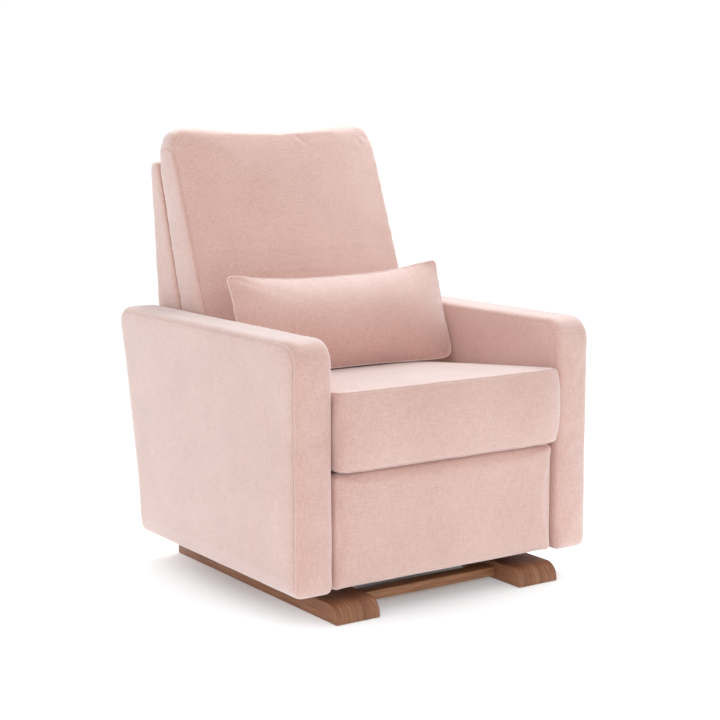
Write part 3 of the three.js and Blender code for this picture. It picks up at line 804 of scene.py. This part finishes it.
def make_soft_pieces():
    arms = [arm_job(side, sign) for side, sign in SIDES.items()]
    seat, back, pad, shell, pillow = seat_job(), back_job(), pad_job(), shell_job(), pillow_job()
    panel = rear_panel_job()
    proud = {
        "left_arm": [(0.0055, 0.008, 0.003), (0.0, 0.0, 0.003)],
        "right_arm": [(0.0055, 0.008, 0.003), (0.0, 0.0, 0.003)],
        "seat_cushion": [(0.0015, 0.0, 0.0), (0.0, 0.0, 0.004)],
        "back_cushion": [(0.004, 0.003, 0.003), (0.006, 0.0, 0.0)],
        "footrest_pad": [(0.0035, 0.0, 0.005)],
        "back_shell": [(0.003, 0.003, 0.002), (0.005, 0.0, 0.0)],
        "rear_panel": [(0.0, 0.0, 0.0)],
    }
    made = [*arms, seat, back, pad, shell, panel]
    inflate([job for _, _, job in [*made, pillow]])
    for (node, margin), (piece, _, _) in zip(proud.items(), made):
        fitted(piece, node, *margin)
    for number, (piece, _, _) in enumerate([*made, pillow]):
        finer(piece)
        rippled(piece, 0.0004 if piece is pad[0] else 0.0009, 0.085, number)
    crowned(back[0])
    for side, (piece, seams, _) in zip(SIDES, arms):
        for end, (line, closed) in zip(("outer", "inner"), seams):
            welted(piece, f"{side}_arm_{end}_seam", line, closed, radius=0.0007, depth=0.0007, width=0.0026)
    for end, (line, closed) in zip(("upper", "lower"), seat[1]):
        gathered(seat[0], line, closed, 0.0012, 0.018, 0.030, 1.0)
        welted(seat[0], f"seat_cushion_{end}_seam", line, closed)
    for side, (line, closed) in zip(SIDES, back[1]):
        gathered(back[0], line, closed, 0.0016, 0.020, 0.030, 2.0)
        welted(back[0], f"{side}_back_cushion_seam", line, closed, radius=0.0008, depth=0.0010, width=0.0032)
    for start, end, depth in BACK_CREASES:
        creased(back[0], start, end, depth, 0.0066)
    for side, (line, closed) in zip(SIDES, shell[1]):
        welted(shell[0], f"{side}_outside_back_seam", line, closed, radius=0.0008)
    gathered(pillow[0], *pillow[1][0], 0.0022, 0.022, 0.024, 4.0)
    # The pillow's rim seam wears the lighter fabric: a painted highlight along the rim.
    welted(pillow[0], "pillow_seam", *pillow[1][0], radius=0.0012, depth=0.0, look=RIM_HIGHLIGHT)
    make_wraps()


# ---------------------------------------------------------------- the hard pieces


def stood_for(piece, node, body):
    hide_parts(node)
    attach(piece, body)
    return piece


def prism(name, outline, low, high, material, edge, segments=3):
    """An outline in y and z, thickened along x, its edges eased."""
    bm = bmesh.new()
    near = [bm.verts.new((low, y, z)) for y, z in outline]
    far = [bm.verts.new((high, y, z)) for y, z in outline]
    bm.faces.new(near)
    bm.faces.new(list(reversed(far)))
    for k in range(len(outline)):
        after = (k + 1) % len(outline)
        bm.faces.new([near[k], far[k], far[after], near[after]])
    bmesh.ops.recalc_face_normals(bm, faces=bm.faces)
    mesh = bpy.data.meshes.new(name)
    bm.to_mesh(mesh)
    bm.free()
    piece = added(name, mesh, material)
    ease(piece, edge, segments)
    return piece


def ease(piece, edge, segments=2, angle=35):
    bevel = piece.modifiers.new("Ease", "BEVEL")
    bevel.width = edge
    bevel.segments = segments
    bevel.limit_method = "ANGLE"
    bevel.angle_limit = math.radians(angle)
    bevel.harden_normals = True
    settle(piece)
    piece.data.set_sharp_from_angle(angle=math.radians(50))


def arc(centre, radius, start, end, count):
    angles = [math.radians(start + (end - start) * k / count) for k in range(count + 1)]
    return [(centre[0] + radius * math.cos(a), centre[1] + radius * math.sin(a)) for a in angles]


def make_runners():
    nose = 0.034
    for side in SIDES:
        low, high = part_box(f"{side}_runner")
        outline = [(low.y, low.z), (high.y, low.z), (high.y, high.z)]
        outline += arc((low.y + nose, high.z - nose), nose, 90, 180, 24)
        piece = prism(f"{side}_runner_wood", outline, low.x, high.x, WALNUT, 0.003)
        stood_for(piece, f"{side}_runner", "base")
    for end in ("front", "rear"):
        low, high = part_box(f"{end}_crossbar")
        outline = [(low.y, low.z), (high.y, low.z), (high.y, high.z), (low.y, high.z)]
        piece = prism(f"{end}_crossbar_wood", outline, low.x, high.x, WALNUT_ACROSS, 0.002)
        stood_for(piece, f"{end}_crossbar", "base")


def make_pins():
    """Headed pins with a domed head and an eased tip, turned about x."""
    for node, thing in frame["nodes"].items():
        if not node.endswith("_pin"):
            continue
        low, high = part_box(node)
        head_out = 1 if node.startswith("left") else -1
        if "carriage" in node:
            head_out = -head_out
        start = low.x if head_out > 0 else high.x
        length = high.x - low.x
        broad = (high.z - low.z) / 2
        shank = broad / 1.6
        thick = 0.0037
        profile = [
            (0, 0), (shank - 0.0008, 0), (shank, 0.0008), (shank, length - thick),
            (broad, length - thick), (broad, length - 0.0012), (broad - 0.0012, length - 0.0003),
            (broad * 0.45, length), (0, length),
        ]
        bm = bmesh.new()
        points = [bm.verts.new((start + head_out * along, (low.y + high.y) / 2 + r, (low.z + high.z) / 2))
                  for r, along in profile]
        edges = [bm.edges.new(pair) for pair in zip(points, points[1:])]
        centre = ((low.x + high.x) / 2, (low.y + high.y) / 2, (low.z + high.z) / 2)
        bmesh.ops.spin(bm, geom=points + edges, cent=centre, axis=(1, 0, 0), angle=2 * math.pi, steps=32,
                       use_merge=True)
        bmesh.ops.remove_doubles(bm, verts=bm.verts, dist=1e-6)
        bmesh.ops.recalc_face_normals(bm, faces=bm.faces)
        mesh = bpy.data.meshes.new(node + "_turned")
        bm.to_mesh(mesh)
        bm.free()
        piece = added(node + "_turned", mesh, ZINC)
        mesh.set_sharp_from_angle(angle=math.radians(35))
        stood_for(piece, node, thing["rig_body"])


def make_springs():
    """Sinuous springs of round wire, bent in even loops."""
    bends, steps, inset = 12, 12 * 14, 0.002
    for number in range(1, 5):
        node = f"seat_spring_{number}"
        low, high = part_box(node)
        middle, sway = (low.x + high.x) / 2, (high.x - low.x) / 2 - inset
        points = []
        for k in range(steps + 1):
            t = k / steps
            across = math.sin(bends * math.pi * t)
            across = math.copysign(abs(across) ** 0.6, across)
            y = low.y + inset + (high.y - low.y - 2 * inset) * t
            points.append((middle + sway * across, y, (low.z + high.z) / 2))
        wire = tube(node + "_wire", points, False, 0.0018, SPRING, round_steps=2)
        stood_for(wire, node, "carriage")


def finish_cad_nodes():
    """Gives the nodes that stay as they are their materials, by their slots in the record."""
    looks = {
        "timber": TIMBER, "black_steel": BLACK, "zinc_steel": ZINC, "webbing": WEBBING,
        "blush_fabric": BLUSH, "walnut": WALNUT, "spring_steel": SPRING,
    }
    for entry in frame["record"]["subparts"]:
        thing = frame["nodes"][entry["node"]]
        if thing.hide_render:
            continue
        slot, body = entry["material_slot"], thing["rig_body"]
        look = looks[slot]
        if slot == "timber" and not entry["node"].startswith(("left", "right")):
            look = TIMBER_ACROSS
        piece = added(entry["node"] + "_eased", thing.data.copy(), look)
        bm = bmesh.new()
        bm.from_mesh(piece.data)
        bmesh.ops.remove_doubles(bm, verts=bm.verts, dist=1e-5)
        bmesh.ops.dissolve_limit(bm, angle_limit=math.radians(1), verts=bm.verts, edges=bm.edges)
        bm.to_mesh(piece.data)
        bm.free()
        ease(piece, {"timber": 0.0015, "webbing": 0.0006}.get(slot, 0.0005))
        stood_for(piece, entry["node"], body)


# ---------------------------------------------------------------- stage


def make_stage():
    """A pale floor that glows where the object would dull it, which is painted light that washes out its
    shadow, an even white room and one softbox.
    """
    peak = 0.54
    bm = bmesh.new()
    bmesh.ops.create_grid(bm, x_segments=1, y_segments=1, size=14)
    mesh = bpy.data.meshes.new("floor")
    bm.to_mesh(mesh)
    bm.free()
    shader = Shader("floor")
    shades = [(0.3, (0.87, 0.87, 0.87, 1.0)), (0.7, (0.89, 0.89, 0.89, 1.0))]
    shader.link(shader.ramp(shader.noise(3.0), shades), "Base Color")
    # Painted light: the floor's glow is nil right under the object, rises to its peak where the object's
    # shade would fall, then falls, plus a little far off so the floor reads white; it is tinted slightly
    # cool.
    distance = shader.add("ShaderNodeVectorMath", {0: shader.place}, operation="LENGTH").outputs["Value"]
    rise = {"Value": distance, "From Min": 0.16, "From Max": 0.6, "To Min": 0.0, "To Max": peak}
    fall = {"Value": distance, "From Min": 0.7, "From Max": 1.3, "To Min": peak, "To Max": 0.1}
    far_glow = {"Value": distance, "From Min": 1.0, "From Max": 2.6, "To Min": 0.0, "To Max": 0.2}
    rise, fall, far_glow = (
        shader.add("ShaderNodeMapRange", limits).outputs["Result"] for limits in (rise, fall, far_glow)
    )
    shader.link(shader.math("ADD", shader.math("MINIMUM", rise, fall), far_glow), "Emission Strength")
    shader.fix(Roughness=0.8, Specular_IOR_Level=0.0, Emission_Color=(0.9, 1.0, 1.03, 1.0))
    floor = added("floor", mesh, shader.material)
    world = bpy.data.worlds.new("studio")
    bpy.context.scene.world = world
    world.use_nodes = True
    nodes, link = world.node_tree.nodes, world.node_tree.links.new
    direction = nodes.new("ShaderNodeTexCoord").outputs["Generated"]
    split, glow = nodes.new("ShaderNodeSeparateXYZ"), nodes.new("ShaderNodeMapRange")
    link(direction, split.inputs[0])
    link(split.outputs["Z"], glow.inputs["Value"])
    for socket, value in {"From Min": 0.12, "From Max": 0.26, "To Min": 1.02, "To Max": 0.86}.items():
        glow.inputs[socket].default_value = value
    link(glow.outputs["Result"], nodes["Background"].inputs["Strength"])
    nodes["Background"].inputs["Color"].default_value = (1, 1, 1, 1)
    lamp = bpy.data.lights.new("softbox", "AREA")
    lamp.size = 1.6
    lamp.energy = 40
    thing = bpy.data.objects.new("softbox", lamp)
    thing.location = (1.2, 1.0, 2.5)
    thing.rotation_mode = "QUATERNION"
    thing.rotation_quaternion = (Vector((0, 0, 0.4)) - thing.location).to_track_quat("-Z", "Y")
    bpy.context.scene.collection.objects.link(thing)
    bpy.context.scene.view_settings.view_transform = "Standard"


def make_camera():
    camera = bpy.data.cameras.new("camera")
    camera.lens = 81.27
    camera.sensor_width = 36
    thing = bpy.data.objects.new("camera", camera)
    turn, tilt = math.radians(34.18), math.radians(8.574)
    thing.location = (-2.0119, -3.0085, 1.0116)
    forwards = Vector((math.sin(turn) * math.cos(tilt), math.cos(turn) * math.cos(tilt), -math.sin(tilt)))
    thing.rotation_mode = "QUATERNION"
    thing.rotation_quaternion = forwards.to_track_quat("-Z", "Y")
    bpy.context.scene.collection.objects.link(thing)
    bpy.context.scene.camera = thing


make_camera()
make_stage()
make_soft_pieces()
make_runners()
make_pins()
make_springs()
finish_cad_nodes()
